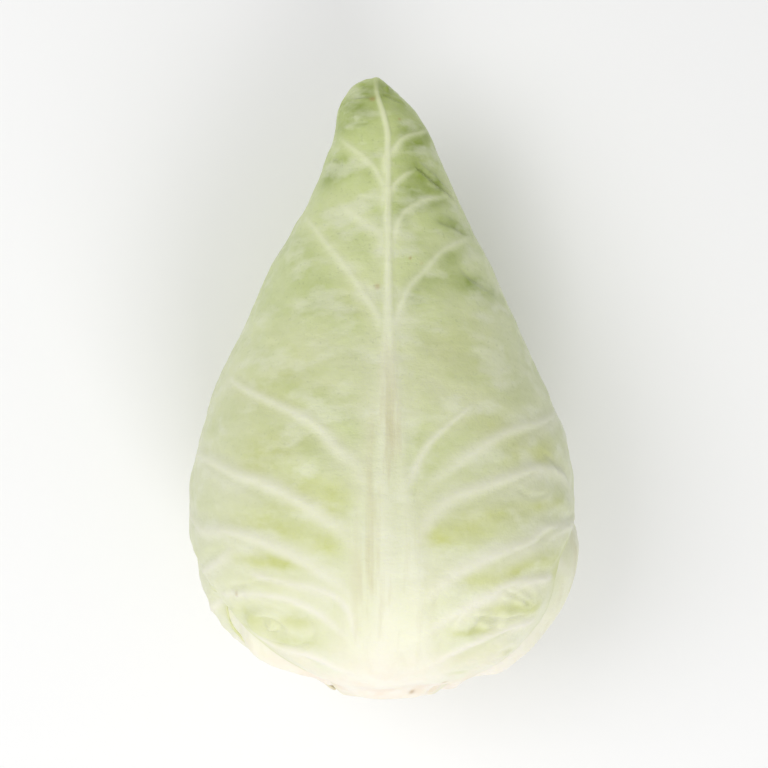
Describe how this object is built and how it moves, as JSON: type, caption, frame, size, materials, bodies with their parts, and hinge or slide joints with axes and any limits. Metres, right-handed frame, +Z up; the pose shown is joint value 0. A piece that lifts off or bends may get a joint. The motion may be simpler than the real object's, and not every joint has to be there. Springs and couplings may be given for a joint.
{
  "type": "pointed hearted cabbage",
  "caption": "Pointed hearted cabbage lying on its side: a pale cut stalk, broad ribbed outer leaves wrapped over one another, and a closed heart that narrows to a hooded tip.",
  "frame": {"origin": "centre of the bottom of the bounding box, on the surface that the cabbage lies on", "axes": "+Y from the cut stalk to the pointed tip, +Z up, +X to the right of the front leaf's midrib seen from above with the tip ahead"},
  "size_m": [0.1406, 0.2254, 0.1257],
  "materials": {
    "outer_leaf": "waxy yellow-green leaf with a pale grey bloom, cream towards the foot, with raised pale veins",
    "inner_leaf": "smoother and paler waxy green leaf with raised cream veins",
    "heart_leaf": "tight pale yellow-green inner leaves",
    "cut_stalk": "moist cream cut face with a darker ring and slightly browned edge"
  },
  "bodies": {
    "root": {"front_leaf": "outer_leaf", "underside_leaf": "outer_leaf", "right_leaf": "outer_leaf", "left_leaf": "inner_leaf", "back_right_leaf": "inner_leaf", "upper_right_leaf": "inner_leaf", "heart": "heart_leaf", "stalk": "cut_stalk"}
  },
  "joints": []
}
